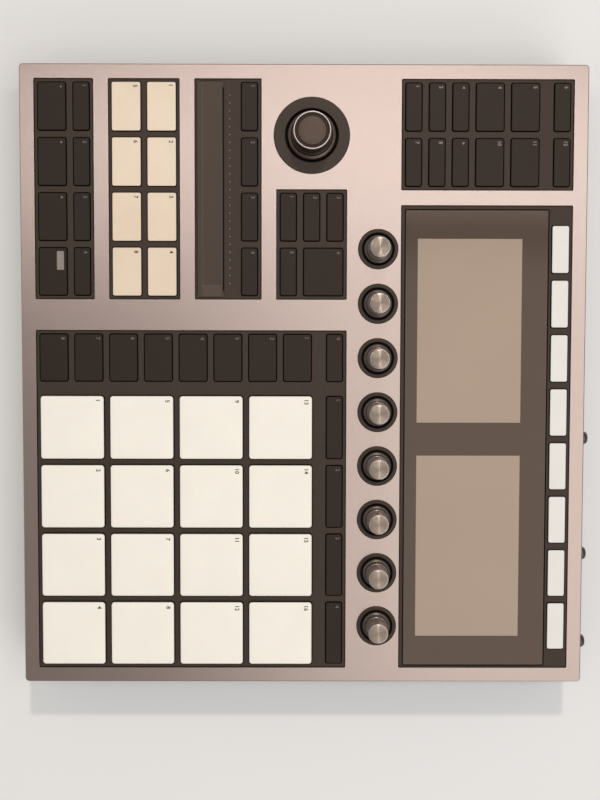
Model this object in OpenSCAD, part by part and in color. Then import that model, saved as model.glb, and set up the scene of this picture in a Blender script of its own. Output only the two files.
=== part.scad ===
// Groovebox: sixteen pads, two displays, eight turn knobs, a tilting knob and banks of keys.
// The origin lies on the resting surface under the middle of the whole object.
// +X is the player's right, +Y the rear, +Z up.

/* [Body] */
// Width of the top panel
body_w = 320; // [270:1:370]
// Depth of the top panel, front to rear
body_d = 291.5; // [245:0.5:340]
// Height of the top panel's face above the resting surface
body_h = 41; // [40.5:0.5:50]
// Thickness of the aluminium top panel
panel_t = 2; // [1.5:0.1:3]
// Radius of the top panel's corners
corner_r = 2; // [2:0.5:5]
// Width of the bevel round the top panel's upper edge
panel_bevel = 0.8; // [0.3:0.1:1.2]
// Wall of the bottom case
wall = 2.5; // [2:0.1:3]
// Floor of the bottom case
floor_t = 2.5; // [2:0.1:3]
// How far the case wall stands back from the panel's edge
case_inset = 0.8; // [0.4:0.1:1.5]
// Height of the case's sloped lower edge
slope_h = 5; // [3:0.5:5]
// How far the sloped lower edge runs in
slope_in = 5; // [3:0.5:6]

/* [Key layout] */
// Bare panel between its edge and the openings
panel_margin = 7.6; // [7:0.1:8]
// Bare panel between two openings
block_gap = 8; // [7.5:0.1:9]
// Bare panel between the left banks and the pads
middle_gap = 16.3; // [12:0.1:20]
// Bare panel with the turn knobs, front to rear
knob_band = 28.25; // [27:0.05:34]
// Bezel between an opening's edge and its keys
block_margin = 1.95; // [1.8:0.05:2.1]
// Bezel between two keys
key_space = 3.95; // [3.8:0.05:4.5]
// Bezel between a row of keys and the glass, or between the scene keys and the pads
channel_space = 7.8; // [7:0.1:9]
// Width of a key, before the rows are fitted to the panel's width
key_w = 24.1; // [20:0.1:26]
// Depth of a large key, before the rows are fitted to the panel's depth
key_d = 14.15; // [13:0.05:15]
// Depth of a small key, before the rows are fitted to the panel's depth
key_small_d = 8.05; // [7.5:0.05:9]
// How much wider and deeper a white key is
white_grow = 0.5; // [0:0.1:0.6]
// Depth of the opening with the touch strip, before the rows are fitted
strip_block_d = 33.9; // [33:0.1:36]

/* [Keys] */
// Gap round a key or pad
key_gap = 0.5; // [0.3:0.05:0.6]
// Radius of a key's corners
key_r = 0.9; // [0.8:0.1:1.6]
// Bevel of a key's upper edge
key_bevel = 0.4; // [0.2:0.1:0.6]
// How far a key stands above the bezel
key_rise = 0.9; // [0.5:0.1:1.5]
// Travel of a key
key_travel = 1; // [0.6:0.1:1]

/* [Pads] */
// Side of a square pad, before the pads are fitted to the panel
pad_size = 32.6; // [30:0.1:34]
// Distance from pad to pad, before the pads are fitted to the panel
pad_pitch = 35.95; // [35.9:0.05:38]
// Bezel between the pads and the keys behind them
pad_channel = 7.55; // [7:0.05:9]
// Radius of a pad's corners
pad_r = 1.6; // [1:0.1:2.5]
// Bevel of a pad's upper edge
pad_bevel = 0.7; // [0.3:0.1:1]
// How far a pad stands above the bezel
pad_rise = 1.9; // [1.2:0.1:2.5]
// Travel of a pad
pad_travel = 0.8; // [0.4:0.1:0.8]
// Bezel between the outer pads and the opening's edge
pad_margin = 2.05; // [1.9:0.05:3]

/* [Displays] */
// Width of a display's picture, before it is fitted to the keys behind it
lcd_w = 95; // [90:0.5:98]
// Depth of a display's picture, before it is fitted to the glass
lcd_d = 53.9; // [50:0.1:56]
// Bezel to the left of the rear keys
display_side = 10.25; // [9:0.05:12]
// Bezel to the right of the rear keys
display_right = 10.05; // [9:0.05:12]
// Thickness of the display glass
glass_t = 1.35; // [1:0.05:1.35]

/* [Turn knobs] */
// Distance of the knob row from the front of the glass opening
knob_set_back = 11.9; // [11.5:0.1:12.5]
// Height of a knob's top above the panel
knob_h = 17.8; // [14:0.1:22]
// Radius of a knob's skirt
knob_skirt_r = 7.4; // [7:0.1:7.5]
// Radius of a knob's waist above its skirt
knob_waist_r = 6.1; // [5.6:0.1:6.4]
// Radius of a knob's top
knob_top_r = 5.2; // [4.8:0.1:5.5]
// Radius of a knob's collar
collar_r = 10.4; // [10:0.1:10.6]
// Radius of the well inside a knob's collar
well_r = 8.15; // [8:0.05:8.3]

/* [Tilting knob] */
// Distance of its axis from the panel's left edge, before the rows are fitted
big_x = 36.1; // [34:0.1:37]
// Height of its top above the panel
big_h = 17; // [14:0.1:22]
// Radius of its skirt
big_skirt_r = 12.3; // [11.5:0.1:12.3]
// Radius of its top
big_top_r = 9.3; // [8:0.1:10]
// Radius of its collar
big_collar_r = 19.6; // [19.2:0.1:20]
// Radius of the well inside its collar
big_well_r = 13.65; // [13.6:0.05:14]
// Distance of its pivot below the panel's face
pivot_deep = 15; // [14.5:0.1:15.5]
// Travel of its push
push_travel = 0.8; // [0.4:0.1:0.8]

/* [Rear] */
// How far the rear knobs stand out beyond the panel
rear_out = 6.5; // [6:0.1:12]
// Radius of a rear knob
rear_knob_r = 4; // [3.5:0.1:5]
// Height of the rear window above the case's sloped edge
rear_win_up = 4.5; // [3:0.1:5]
// Height of the rear window
rear_win_h = 22; // [20:0.1:22]
// Radius of a jack's bore
jack_r = 3.25; // [3.2:0.01:3.3]
// Length of a jack's bore
jack_l = 30; // [28:0.5:32]
// Radius of a round data socket's bore
din_r = 6.75; // [6.7:0.05:6.8]
// Depth of a round data socket's bore
din_l = 9; // [8:0.5:10]
// Radius of the power inlet's bore
inlet_r = 3.15; // [3.1:0.05:3.2]
// Depth of the power inlet's bore
inlet_l = 9.5; // [9:0.5:10]
// Bare wall between the case's inside and the end of the rear window
rear_win_side = 6; // [5:0.1:7]

/* [Feet and screws] */
// Height of a foot below the case
foot_h = 3; // [2.5:0.1:3]
// Radius of a foot
foot_r = 9; // [8:0.5:9.5]
// Radius of a screw's shank
screw_r = 1.5; // [1.25:0.05:1.5]

/* [Hidden] */
$fn = 96;
// Overrun of every cut
over = 1;
// Running clearance of a shaft in its bore
run_gap = 0.05;
// Clearance between fixed pieces that drop into each other
fit_gap = 0.25;
// Clearance kept at the end of a travel
stop_gap = 0.3;

// Keys sit in a bezel plate under the panel
bezel_t = 2.4;
bezel_sink = 0.4;
flange_t = 1;
flange_lip = 0.8;
stem_h = 0.5;
stem_r = 2.5;
switch_h = 0.9;
switch_w = 6;
board_t = 1.6;
sensor_in = 2.3;
bezel_top = body_h - bezel_sink;
plate_z1 = body_h - panel_t;
plate_z0 = plate_z1 - bezel_t;
flange_z1 = plate_z0 - stop_gap;
flange_z0 = flange_z1 - flange_t;
stem_z0 = flange_z0 - stem_h;
board_z1 = stem_z0 - key_travel - stop_gap - switch_h;
board_z0 = board_z1 - board_t;
inner_w = body_w - 2 * (case_inset + wall);
inner_d = body_d - 2 * (case_inset + wall);

// The keys' and pads' widths are fitted to the panel's width: what the margins and gaps leave free
// is shared by five keys and four pads side by side
pad_space = pad_pitch - pad_size;
bare_w = 2 * panel_margin + 3 * block_margin + 3 * key_space + middle_gap + channel_space
    + 3 * pad_space + pad_margin;
fit_w = (body_w - bare_w) / (5 * key_w + 4 * pad_size);
cap_w = key_w * fit_w;
pad_w = pad_size * fit_w;

// Their depths are fitted to the panel's depth: what the margins, gaps and knobs leave free is
// shared by five rows of large keys, nine rows of small keys and the touch strip
strip_in = 1.1;
strip_d = 13.6;
strip_bare = strip_block_d - strip_d - key_small_d - block_margin;
bare_d = 2 * panel_margin + knob_band + 3 * block_gap + 9 * block_margin + 8 * key_space
    + strip_bare + channel_space;
fit_d = (body_d - bare_d) / (5 * key_d + 9 * key_small_d + strip_d);
cap_d = key_d * fit_d;
cap_small_d = key_small_d * fit_d;
touch_d = strip_d * fit_d;

// Places of the rows and columns
left_edge = -body_w / 2 + panel_margin;
right_edge = body_w / 2 - panel_margin;
front_edge = -body_d / 2 + panel_margin;
rear_edge = body_d / 2 - panel_margin;
key_pitch = cap_w + key_space;
small_pitch = cap_small_d + key_space;
first_in = block_margin + cap_w / 2;
large_in = block_margin + cap_d / 2;
small_in = block_margin + cap_small_d / 2;
large_to_small = cap_d / 2 + key_space + cap_small_d / 2;
left_x0 = left_edge + first_in;
function left_x(k) = left_x0 + k * key_pitch;
left_block_x1 = left_x(3) + first_in;
transport_y0 = front_edge + large_in;
transport_y1 = transport_y0 + large_to_small;
transport_rear = transport_y1 + small_in;
group_front = transport_rear + block_gap;
group_y0 = group_front + large_in;
group_y1 = group_y0 + cap_d + key_space;
group_rear = group_y1 + large_in;
strip_front = group_rear + block_gap;
strip_rear = strip_front + strip_bare + touch_d + cap_small_d + block_margin;
strip_key_y = strip_rear - small_in;
side_front = strip_rear + block_gap;
side_y0 = side_front + small_in;
side_rear = side_y0 + 2 * small_pitch + small_in;
side_x0 = left_x(2) - first_in;
top_row_y = rear_edge - small_in;
browse_y1 = top_row_y - cap_small_d / 2 - channel_space - cap_d / 2;
browse_y0 = browse_y1 - cap_d - key_space;
arrow_y = browse_y0 - large_to_small;
upper_front = arrow_y - 2 * small_pitch - small_in;
browse_x1 = left_x(1) + first_in;
pad_block_x0 = left_block_x1 + middle_gap;
scene_x = pad_block_x0 + first_in;
mode_y = side_rear - small_in;
pads_x0 = scene_x + cap_w / 2 + channel_space;
pads_y0 = front_edge + pad_margin;
pads_d = mode_y - cap_small_d / 2 - pad_channel - pads_y0;
pad_fit_d = (pads_d - 3 * pad_space) / (4 * pad_size);
pad_d = pad_size * pad_fit_d;
pad_x0 = pads_x0 + pad_w / 2;
pad_y0 = pads_y0 + pad_d / 2;
pad_pitch_x = pad_w + pad_space;
pad_pitch_y = pad_d + pad_space;
scene_pitch = pad_pitch_y / 2;
scene_d = key_d * pad_fit_d;
display_x0 = browse_x1 + block_gap;
knob_pitch = (right_edge - display_x0 - display_side - display_right + key_space) / 8;
display_key_w = knob_pitch - key_space;
knob_x0 = display_x0 + display_side + display_key_w / 2;
knob_y = upper_front - knob_set_back;
big_axis = [big_x * fit_w - body_w / 2, (side_front + side_rear) / 2];
sensor_w = pad_w - 2 * sensor_in;
sensor_d = pad_d - 2 * sensor_in;

// Each key is [x, y, width, depth]
transport_cells = [for (k = [0:3]) [left_x(k), transport_y0, cap_w, cap_d]];
transport_small_cells = [for (k = [0:3]) [left_x(k), transport_y1, cap_w, cap_small_d]];
group_cells = [for (y = [group_y0, group_y1], k = [0:3])
    [left_x(k), y, cap_w + white_grow, cap_d + white_grow]];
strip_cells = [for (k = [0:3]) [left_x(k), strip_key_y, cap_w, cap_small_d]];
side_cells = concat(
    [for (k = [0:2]) [left_x(2), side_y0 + k * small_pitch, cap_w, cap_small_d]],
    [[left_x(3), side_y0, cap_w, cap_small_d]]);
repeat_cells = [[left_x(3), side_y0 + small_pitch * 3 / 2, cap_w, 2 * cap_small_d + key_space]];
browse_cells = concat(
    [for (x = [0, 1], k = [0:2]) [left_x(x), arrow_y - k * small_pitch, cap_w, cap_small_d]],
    [for (x = [0, 1], y = [browse_y0, browse_y1]) [left_x(x), y, cap_w, cap_d]],
    [for (x = [0, 1]) [left_x(x), top_row_y, cap_w, cap_small_d]]);
display_cells = [for (k = [0:7])
    [knob_x0 + k * knob_pitch, top_row_y, display_key_w, cap_small_d + white_grow]];
scene_cells = concat(
    [for (k = [0:7])
        [scene_x, front_edge + block_margin + scene_d / 2 + k * scene_pitch, cap_w, scene_d]],
    [[scene_x, mode_y, cap_w, cap_small_d]]);
mode_cells = [for (k = [0:3])
    [pad_x0 + k * pad_pitch_x, mode_y, pad_w - white_grow, cap_small_d]];
pad_cells = [for (row = [0:3], col = [0:3])
    [pad_x0 + col * pad_pitch_x, pad_y0 + row * pad_pitch_y, pad_w, pad_d]];
key_cells = concat(transport_cells, transport_small_cells, group_cells, strip_cells, side_cells,
    repeat_cells, browse_cells, display_cells, scene_cells, mode_cells);
knob_places = [for (k = [0:7]) [knob_x0 + k * knob_pitch, knob_y]];

// Openings of the top panel as [x0, y0, x1, y1]
blocks = [
    [left_edge, front_edge, left_block_x1, transport_rear],
    [left_edge, group_front, left_block_x1, group_rear],
    [left_edge, strip_front, left_block_x1, strip_rear],
    [side_x0, side_front, left_block_x1, side_rear],
    [left_edge, upper_front, browse_x1, rear_edge],
    [display_x0, upper_front, right_edge, rear_edge],
    [pad_block_x0, front_edge, right_edge, side_rear]];
block_r = 0.5;

// Glass, displays and touch strip lie in pockets of the bezel
glass_side = 1;
glass_box = [display_x0 + block_margin, upper_front + block_margin,
    right_edge - glass_side, top_row_y - cap_small_d / 2 - block_margin];
glass_r = 0.6;
glass_z0 = bezel_top - glass_t - fit_gap / 5;
lcd_ledge = 0.6;
module_over_w = 10.5;
module_over_d = 13.3;
module_t = 3;
lcd_fit_w = lcd_w * knob_pitch / (key_w + key_space);
lcd_fit_d = lcd_d * fit_d;
lcd_front = 6.6;
lcd_y = glass_box[1] + (lcd_front + lcd_d / 2) * fit_d;
lcd_places = [for (side = [0, 1]) [knob_x0 + knob_pitch * (3 / 2 + 4 * side), lcd_y]];
strip_t = 1.1;
strip_r = 1.5;
strip_box = [left_edge + strip_in, strip_front + strip_in,
    left_block_x1 - strip_in, strip_front + strip_in + touch_d];

// Turn knobs: collar cup, knob and spindle in the encoder's bushing
collar_rise = 0.6;
collar_bevel = 0.4;
neck_in = 1;
cup_t = 0.8;
cup_deep = 3;
knob_lift = 0.5;
cup_z0 = body_h - cup_deep;
knob_z0 = cup_z0 + cup_t + knob_lift;
skirt_h = 2.9;
skirt_bevel = 0.7;
waist_h = 3.4;
groove_in = 0.35;
groove_h = 0.5;
knob_edge = 0.5;
dish_in = 0.5;
dish_h = 0.3;
spindle_r = 3;
spindle_seat = 1;
bushing_r = 4.5;
pot_w = 12;
pot_h = 4.4;

// Tilting knob: collar cup, knob, sliding shaft, cradle, gimbal ring and bracket
big_neck_in = 1;
big_cup_deep = 4;
big_lift = 2.4;
big_cup_z0 = body_h - big_cup_deep;
big_cup_hole = 8;
big_z0 = big_cup_z0 + cup_t + big_lift;
big_waist_r = big_top_r + knob_edge;
big_skirt_h = 2.4;
big_dish_in = 1.7;
big_dish_h = 0.8;
hub_r = 5;
shaft_r = 4;
shoulder_lift = 3;
spindle_cover = 6;
shoulder_z = board_z1 + shoulder_lift;
spindle_top = body_h + big_h - spindle_cover;
cradle_r = 13;
cradle_h = 6;
pivot_z = body_h - pivot_deep;
ring_gap = 1;
gimbal_t = 3;
gimbal_r0 = cradle_r + ring_gap;
gimbal_r1 = gimbal_r0 + gimbal_t;
gimbal_h = 4;
trunnion_r = 1.5;
trunnion_root = 1;
bracket_t = 2.5;
bracket_deep = 5;
bracket_r0 = gimbal_r1 + ring_gap;
bracket_r1 = bracket_r0 + bracket_t;
bracket_z0 = pivot_z - bracket_deep;
shaft_flange_r = 6;
shaft_flange_h = 2;
shaft_flange_z1 = pivot_z - cradle_h / 2 - stop_gap;
board_hole_r = 8;

// Rear connector plate, sockets and rear knobs
plate_t = 2;
rear_lip = 1.5;
rear_win_w = inner_w - 2 * rear_win_side;
rear_win_z0 = foot_h + slope_h + rear_win_up;
rear_win_z1 = rear_win_z0 + rear_win_h;
rear_face = inner_d / 2;
rear_plate_in = rear_face - plate_t;
rear_room = 0.3;
nose_r = 4.5;
nose_out = 2;
nut_r = 6.5;
nut_t = 1.6;
jack_w = 15;
jack_body_l = 28;
jack_h = 14.8;
board_up = 1.1;
board_side = 1;
main_board_t = 1.6;
main_board_z1 = rear_win_z0 + board_up;
main_board_z0 = main_board_z1 - main_board_t;
main_board_d = 92;
rear_z = main_board_z1 + jack_h / 2;
din_w = 18;
din_h = 16.8;
din_body_l = 14;
din_out = 1;
usb_a_w = 14.5;
usb_a_h = 15.6;
usb_a_l = 18;
usb_a_slot = [12.5, 5.1];
usb_a_pitch = 7.6;
usb_b_w = 12;
usb_b_h = 11;
usb_b_l = 16;
usb_b_slot = [8.45, 7.8];
usb_depth = 12;
inlet_w = 9;
inlet_h = 11;
inlet_body_l = 14;
rear_pot_w = 10;
rear_pot_l = 9;
rear_bush_r = 3.5;
rear_shaft_r = 2;
rear_shaft_seat = 2;
rear_seat_y = rear_plate_in - rear_pot_l + rear_shaft_seat;
rear_knob_z0 = rear_face + nose_out + stop_gap;
rear_knob_band = 2;
rear_knob_bevel = 1.6;
rear_grip_in = 0.4;

// Power switch: a rocker on two pins in its housing, drawn in its off position
rocker_w = 13.2;
rocker_h = 8.4;
rocker_deep = 3;
rocker_rise = 1.2;
rocker_dip = 0.2;
rocker_pivot = 2;
rocker_pin_r = 1;
rocker_pin_l = 1.2;
rocker_tilt = 7;
rocker_side = 0.7;
housing_w = 17;
housing_h = 12;
housing_l = 9;
housing_wall = 1.2;
frame_lip = 1;
frame_t = 1.4;
switch_z = (rear_win_z0 + rear_win_z1) / 2;

// The row of sockets and rear knobs from left to right: their widths, and the shares of the spare
// width that lie before each
rear_widths = concat([housing_w + 2 * frame_lip, inlet_w, usb_b_w, usb_a_w, din_w, din_w],
    [jack_w, jack_w, jack_w, jack_w, rear_pot_w, jack_w, jack_w, rear_pot_w, jack_w, rear_pot_w]);
rear_gap_shares = [0.013, 0.016, 0.046, 0.023, 0.023, 0.013, 0.046, 0.04, 0.026, 0.04, 0.086,
    0.138, 0.026, 0.13, 0.133, 0.168];
function total(list, n) = n < 0 ? 0 : list[n] + total(list, n - 1);
rear_spare = rear_win_w - total(rear_widths, len(rear_widths) - 1);
function rear_x(k) = -rear_win_w / 2 + total(rear_widths, k) - rear_widths[k] / 2
    + rear_spare * total(rear_gap_shares, k);
switch_x = rear_x(0);
inlet_x = rear_x(1);
usb_b_x = rear_x(2);
usb_a_x = rear_x(3);
din_xs = [rear_x(4), rear_x(5)];
jack_xs = [for (k = [6, 7, 8, 9, 11, 12, 14]) rear_x(k)];
rear_knob_xs = [rear_x(10), rear_x(13), rear_x(15)];

// Screws pass up through the case posts and the control board into bosses of the bezel
boss_r = 3.1;
post_r = 3.6;
post_foot_r = 5.2;
post_foot_h = 4;
head_r = 2.8;
head_h = 1.8;
head_sink = 3.5;
screw_gap = 0.1;
thread_h = 4.7;
mid_strip_x = (left_block_x1 + pad_block_x0) / 2;
gap_mid = block_gap / 2;
screw_places = [
    [left_x(0) + key_pitch / 2, transport_rear + gap_mid],
    [mid_strip_x, transport_y0],
    [mid_strip_x, group_rear + gap_mid],
    [mid_strip_x, side_y0],
    [left_edge + gap_mid, strip_rear + gap_mid],
    [left_edge + gap_mid, knob_y],
    [knob_x0 + knob_pitch / 2, knob_y],
    [knob_x0 + knob_pitch * 7 / 2, knob_y],
    [knob_x0 + knob_pitch * 15 / 2, knob_y],
    [(browse_x1 + display_x0) / 2, browse_y0],
    [right_edge - gap_mid, browse_y0]];
pad_post_places = [for (x = [0, 2], y = [0, 2])
    [pad_x0 + (x + 1 / 2) * pad_pitch_x, pad_y0 + (y + 1 / 2) * pad_pitch_y]];
standoff_r = 3;
standoff_shares = [[-0.42, 0.26], [-0.12, 0.2], [0.14, 0.2], [0.36, 0.2]];
foot_sink = 0.8;
foot_in = 26;
foot_places = [for (x = [-1, 1], y = [-1, 1])
    [x * (body_w / 2 - foot_in), y * (body_d / 2 - foot_in)]];

// Parts on the main board as [x share, y share, width, depth, height]
chip_table = [[0.03, 0.27, 14, 14, 1.4], [-0.07, 0.3, 10, 18, 1.2], [0.2, 0.28, 9, 9, 1.2]];
sink_share = [-0.2, 0.285];
sink_w = 34;
sink_base = 2;
sink_fin_h = 8;
sink_fin_t = 1.2;
sink_fins = 7;
cap_shares = [[0.29, 0.28], [0.33, 0.28], [0.37, 0.28]];
cap_r = 4;
cap_h = 9;

// Moves the panel's middle so that the origin lies under the middle of the whole object
module placed() translate([0, -rear_out / 2, 0]) children();

// Rectangle with round corners, centred
module round_rect(w, d, r) {
    square([w - 2 * r, d], center = true);
    square([w, d - 2 * r], center = true);
    for (x = [-1, 1], y = [-1, 1])
        translate([x * (w / 2 - r), y * (d / 2 - r)]) circle(r);
}

// Upright block with round corners, centred on the axis
module block(w, d, r, z0, z1) translate([0, 0, z0]) linear_extrude(z1 - z0) round_rect(w, d, r);

// The same block from the corners [x0, y0, x1, y1], grown by grow on each side
module block_at(box, r, z0, z1, grow = 0) {
    translate([(box[0] + box[2]) / 2, (box[1] + box[3]) / 2, 0])
        block(box[2] - box[0] + 2 * grow, box[3] - box[1] + 2 * grow, r, z0, z1);
}

// Outline with both upper corners cut at 45 degrees, open beyond the block that it trims
module bevel_outline(w, z0, z1, c) polygon([
    [-w / 2 - over, z0 - over], [w / 2 + over, z0 - over], [w / 2 + over, z1 - c - over],
    [w / 2 - c - over, z1 + over], [-w / 2 + c + over, z1 + over], [-w / 2 - over, z1 - c - over]]);

// Block whose four upper edges are bevelled
module bevel_block(w, d, r, z0, z1, c) intersection() {
    block(w, d, r, z0, z1);
    rotate([90, 0, 0]) linear_extrude(d + 2 * over, center = true) bevel_outline(w, z0, z1, c);
    rotate([90, 0, 90]) linear_extrude(w + 2 * over, center = true) bevel_outline(d, z0, z1, c);
}

// Upright tube or rod
module rod(r, z0, z1) translate([0, 0, z0]) cylinder(h = z1 - z0, r = r);

// Box that starts at y0 and runs towards the rear to y1, centred in X and Z
module rear_box(w, h, y0, y1) translate([-w / 2, y0, -h / 2]) cube([w, y1 - y0, h]);

// Rod along Y from y0 to y1
module rear_rod(r, y0, y1) translate([0, y0, 0]) rotate([-90, 0, 0]) cylinder(h = y1 - y0, r = r);

// Top panel

module top_panel() color("#cbbab0") placed() difference() {
    bevel_block(body_w, body_d, corner_r, plate_z1, body_h, panel_bevel);
    for (b = blocks) block_at(b, block_r, plate_z1 - over, body_h + over);
    for (p = knob_places) translate(p) rod(collar_r - neck_in + fit_gap, plate_z1 - over, body_h + over);
    translate(big_axis) rod(big_collar_r - big_neck_in + fit_gap, plate_z1 - over, body_h + over);
}

// Key bezel: a plate under the panel with raised islands that fill the openings

module key_hole(cell, r) {
    translate([cell[0], cell[1], 0])
        block(cell[2] + 2 * key_gap, cell[3] + 2 * key_gap, r + key_gap, plate_z0 - over, body_h + over);
}

module key_bezel() color("#403833") placed() {
    difference() {
        union() {
            block(inner_w - 2 * fit_gap, inner_d - 2 * fit_gap, block_r, plate_z0, plate_z1);
            for (b = blocks) block_at(b, block_r - fit_gap, plate_z0, bezel_top, -fit_gap);
            for (p = screw_places) translate(p) rod(boss_r, board_z1, plate_z1);
        }
        for (c = key_cells) key_hole(c, key_r);
        for (c = pad_cells) key_hole(c, pad_r);
        for (p = knob_places) translate(p) rod(collar_r - neck_in + fit_gap, plate_z0 - over, body_h);
        translate(big_axis) rod(big_collar_r - big_neck_in + fit_gap, plate_z0 - over, body_h);
        block_at(glass_box, glass_r + fit_gap, glass_z0, body_h, fit_gap);
        for (p = lcd_places) translate(p) {
            block(lcd_fit_w, lcd_fit_d, glass_r, plate_z0 - over, body_h);
            block(lcd_fit_w + module_over_w + 2 * fit_gap, lcd_fit_d + module_over_d + 2 * fit_gap, glass_r,
                plate_z0 - over, glass_z0 - lcd_ledge);
        }
        block_at(strip_box, strip_r + fit_gap, bezel_top - strip_t - screw_gap, body_h, fit_gap);
        for (p = screw_places) translate(p)
            rod(screw_r + run_gap, board_z1 - over, board_z1 + thread_h + stop_gap);
    }
}

// Bottom case with posts for the screws, standoffs and recesses for the feet

module case_outline(half, z0, z1) polygon([
    [-half + slope_in, z0], [half - slope_in, z0], [half, z0 + slope_h],
    [half, z1], [-half, z1], [-half, z0 + slope_h]]);

module case_solid(inset, z0, z1) intersection() {
    block(body_w - 2 * inset, body_d - 2 * inset, corner_r, z0, z1);
    rotate([90, 0, 0]) linear_extrude(body_d, center = true) case_outline(body_w / 2 - inset, z0, z1);
    rotate([90, 0, 90]) linear_extrude(body_w, center = true) case_outline(body_d / 2 - inset, z0, z1);
}

module bottom_case() color("#262322") placed() difference() {
    union() {
        difference() {
            case_solid(case_inset, foot_h, plate_z1);
            case_solid(case_inset + wall, foot_h + floor_t, plate_z1 + over);
        }
        for (p = screw_places) translate(p) {
            rod(post_r, foot_h + floor_t / 2, board_z0);
            rod(post_foot_r, foot_h + floor_t / 2, foot_h + floor_t + post_foot_h);
        }
        for (p = pad_post_places) translate(p) rod(post_r, foot_h + floor_t / 2, board_z0);
        for (s = standoff_shares) translate([s[0] * body_w, s[1] * body_d, 0])
            rod(standoff_r, foot_h + floor_t / 2, main_board_z0);
    }
    for (p = screw_places) translate(p) {
        rod(screw_r + screw_gap, foot_h, board_z0 + over);
        rod(head_r + fit_gap, foot_h - over, foot_h + head_sink);
    }
    for (p = foot_places) translate(p) rod(foot_r + fit_gap, foot_h - over, foot_h + foot_sink);
    translate([-rear_win_w / 2, rear_face - over, rear_win_z0])
        cube([rear_win_w, wall + 2 * over, rear_win_z1 - rear_win_z0]);
}

module rubber_feet() color("#1c1b1b") placed() {
    for (p = foot_places) translate(p) rod(foot_r, 0, foot_h + foot_sink);
}

module case_screws() color("#8d8d90") placed() {
    for (p = screw_places) translate(p) {
        rod(head_r, foot_h + head_sink - head_h, foot_h + head_sink);
        rod(screw_r, foot_h + head_sink - head_h, board_z1 + thread_h);
    }
}

// Rear connector plate behind the window of the case

module rear_panel() color("#2a2726") placed() difference() {
    translate([-rear_win_w / 2 - rear_lip, rear_plate_in, rear_win_z0 - rear_lip])
        cube([rear_win_w + 2 * rear_lip, plate_t, rear_win_z1 - rear_win_z0 + 2 * rear_lip]);
    for (x = jack_xs) translate([x, 0, rear_z])
        rear_rod(nose_r + fit_gap, rear_plate_in - over, rear_face + over);
    for (x = rear_knob_xs) translate([x, 0, rear_z])
        rear_rod(rear_bush_r + fit_gap, rear_plate_in - over, rear_face + over);
    for (x = din_xs) translate([x, 0, main_board_z1 + din_h / 2])
        rear_rod(din_r + din_out + fit_gap, rear_plate_in - over, rear_face + over);
    translate([usb_a_x, 0, main_board_z1 + usb_a_h / 2])
        rear_box(usb_a_w + 2 * fit_gap, usb_a_h + 2 * fit_gap, rear_plate_in - over, rear_face + over);
    translate([usb_b_x, 0, main_board_z1 + usb_b_h / 2])
        rear_box(usb_b_w + 2 * fit_gap, usb_b_h + 2 * fit_gap, rear_plate_in - over, rear_face + over);
    translate([inlet_x, 0, main_board_z1 + inlet_h / 2])
        rear_rod(inlet_r + din_out + fit_gap, rear_plate_in - over, rear_face + over);
    translate([switch_x, 0, switch_z])
        rear_box(housing_w + 2 * fit_gap, housing_h + 2 * fit_gap, rear_plate_in - over, rear_face + over);
}

// Audio jacks: a body on the main board, a nose through the plate and a ring nut

module audio_jacks() color("#1f1e1e") placed() {
    for (x = jack_xs) translate([x, 0, rear_z]) difference() {
        union() {
            rear_box(jack_w, jack_h, rear_plate_in - jack_body_l, rear_plate_in);
            rear_rod(nose_r, rear_plate_in - over, rear_face + nose_out);
            rear_rod(nut_r, rear_face, rear_face + nut_t);
        }
        rear_rod(jack_r, rear_face + nose_out - jack_l, rear_face + nose_out + over);
    }
}

// Potentiometers of the rear knobs

module rear_pots() color("#77777a") placed() {
    for (x = rear_knob_xs) translate([x, 0, rear_z]) difference() {
        union() {
            rear_box(rear_pot_w, jack_h, rear_plate_in - rear_pot_l, rear_plate_in);
            rear_rod(rear_bush_r, rear_plate_in - over, rear_face + nose_out);
        }
        rear_rod(rear_shaft_r + run_gap, rear_seat_y, rear_face + nose_out + over);
    }
}

// A rear knob with its shaft

module rear_knob(x) color("#2b2827") placed() translate([x, 0, rear_z]) {
    rear_rod(rear_shaft_r, rear_seat_y + stop_gap, rear_knob_z0 + rear_knob_band);
    rotate([-90, 0, 0]) rotate_extrude() rear_knob_outline(rear_knob_z0, body_d / 2 + rear_out);
}

module rear_knob_outline(z0, z1) polygon([
    [0, z0], [rear_knob_r, z0], [rear_knob_r, z0 + rear_knob_band],
    [rear_knob_r - rear_grip_in, z0 + rear_knob_band],
    [rear_knob_r - rear_grip_in, z1 - rear_knob_bevel], [rear_knob_r - rear_grip_in - rear_knob_bevel, z1],
    [0, z1]]);

// Data sockets, power inlet and the power switch's housing

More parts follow.
